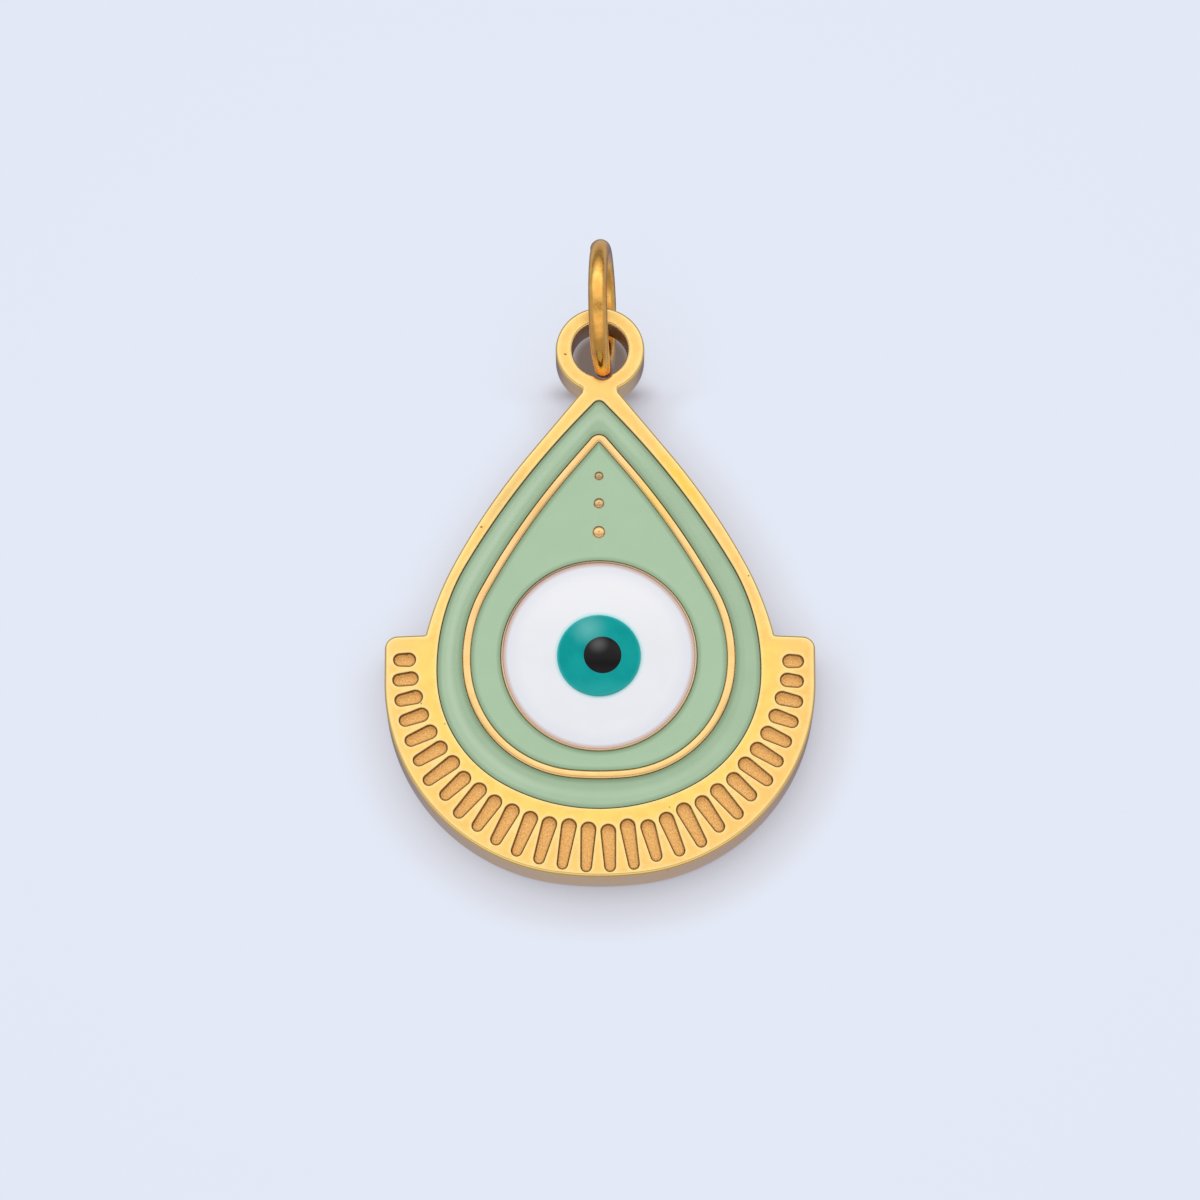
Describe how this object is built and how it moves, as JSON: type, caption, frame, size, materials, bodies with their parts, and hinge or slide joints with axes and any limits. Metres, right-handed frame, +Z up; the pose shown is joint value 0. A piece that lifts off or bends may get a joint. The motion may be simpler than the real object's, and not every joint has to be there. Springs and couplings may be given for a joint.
{
  "type": "evil eye charm",
  "caption": "Flat teardrop charm with an enamelled eye, a fan of slots round its lower half, a top loop and a free jump ring.",
  "frame": {"origin": "on the flat back, straight behind the middle of the eye", "axes": "+Z up the charm from the fan to the loop, +Y out of the flat back, so the face looks towards -Y, +X to the right of the face"},
  "size_m": [0.0182, 0.006, 0.0279],
  "materials": {
    "gold_casting": "polished gold plating over a brass casting, slot floors sandblasted",
    "green_enamel": "glossy cold enamel",
    "white_enamel": "glossy cold enamel",
    "teal_enamel": "glossy cold enamel",
    "black_enamel": "glossy domed enamel",
    "ring_wire": "drawn wire, gold plated"
  },
  "bodies": {
    "charm": {"charm_body": "gold_casting", "outer_enamel": "green_enamel", "inner_enamel": "green_enamel", "eye_white": "white_enamel", "iris": "teal_enamel", "pupil": "black_enamel"},
    "ring": {"jump_ring": "ring_wire"}
  },
  "joints": [
    {"name": "ring_swing", "type": "hinge", "parent": "charm", "child": "ring", "pos_m": [0, -0.0011, 0.01508], "axis": [-1, 0, 0], "range_deg": [0, 155]}
  ]
}
